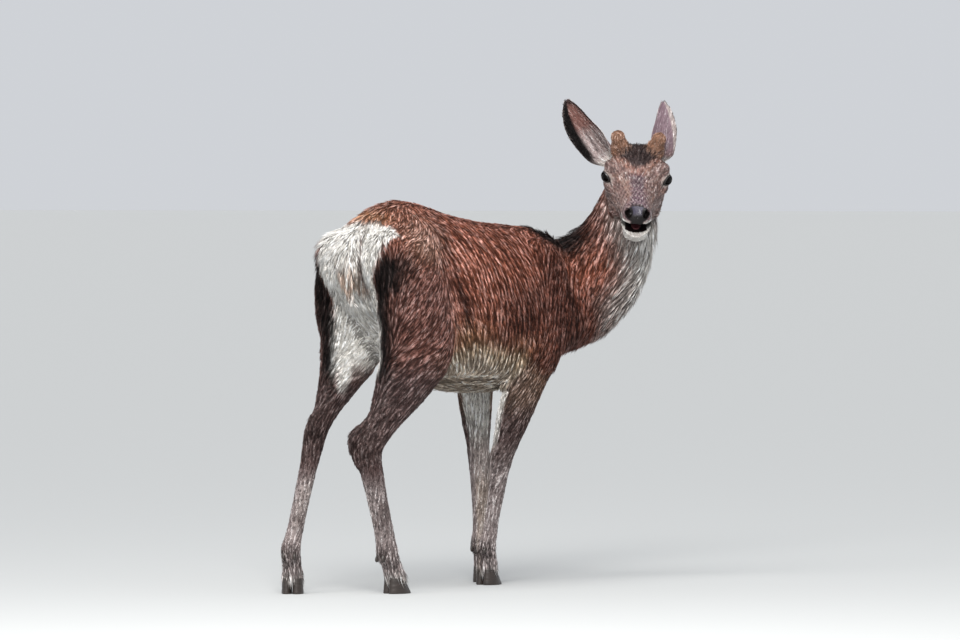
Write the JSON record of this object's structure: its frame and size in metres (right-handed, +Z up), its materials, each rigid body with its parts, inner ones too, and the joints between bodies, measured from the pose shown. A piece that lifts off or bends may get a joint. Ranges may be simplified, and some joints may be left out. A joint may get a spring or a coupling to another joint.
{
  "type": "red deer stag figure",
  "caption": "Life-size young red deer stag with first velvet knobs, standing and looking back past its right side.",
  "frame": {"origin": "under the middle of the bounding box, at the level of the soles", "axes": "+X the way the trunk points, +Y the animal's left, +Z up"},
  "size_m": [1.2518, 0.464, 1.2477],
  "materials": {
    "coat_grey": "short fur, grey-brown",
    "coat_pale": "soft cream fur",
    "coat_red": "short rough fur, red-brown",
    "eye": "wet dark eye",
    "horn": "dark hoof horn",
    "mouth": "moist pink-brown flesh",
    "velvet": "velvet"
  },
  "bodies": {
    "root": {"cannon_fore_left": "coat_grey", "cannon_fore_right": "coat_grey", "claw_fore_left_inner": "horn", "claw_fore_left_outer": "horn", "claw_fore_right_inner": "horn", "claw_fore_right_outer": "horn", "claw_hind_left_inner": "horn", "claw_hind_left_outer": "horn", "claw_hind_right_inner": "horn", "claw_hind_right_outer": "horn", "dewclaw_fore_left_inner": "horn", "dewclaw_fore_left_outer": "horn", "dewclaw_fore_right_inner": "horn", "dewclaw_fore_right_outer": "horn", "dewclaw_hind_left_inner": "horn", "dewclaw_hind_left_outer": "horn", "dewclaw_hind_right_inner": "horn", "dewclaw_hind_right_outer": "horn", "ear_left": "coat_grey", "ear_right": "coat_grey", "eye_left": "eye", "eye_right": "eye", "head": "coat_grey", "knob_left": "velvet", "knob_right": "velvet", "neck": "coat_red", "shank_hind_left": "coat_grey", "shank_hind_right": "coat_grey", "shoulder_fore_left": "coat_red", "shoulder_fore_right": "coat_red", "tail": "coat_pale", "thigh_hind_left": "coat_red", "thigh_hind_right": "coat_red", "tongue": "mouth", "trunk": "coat_red"}
  },
  "joints": []
}
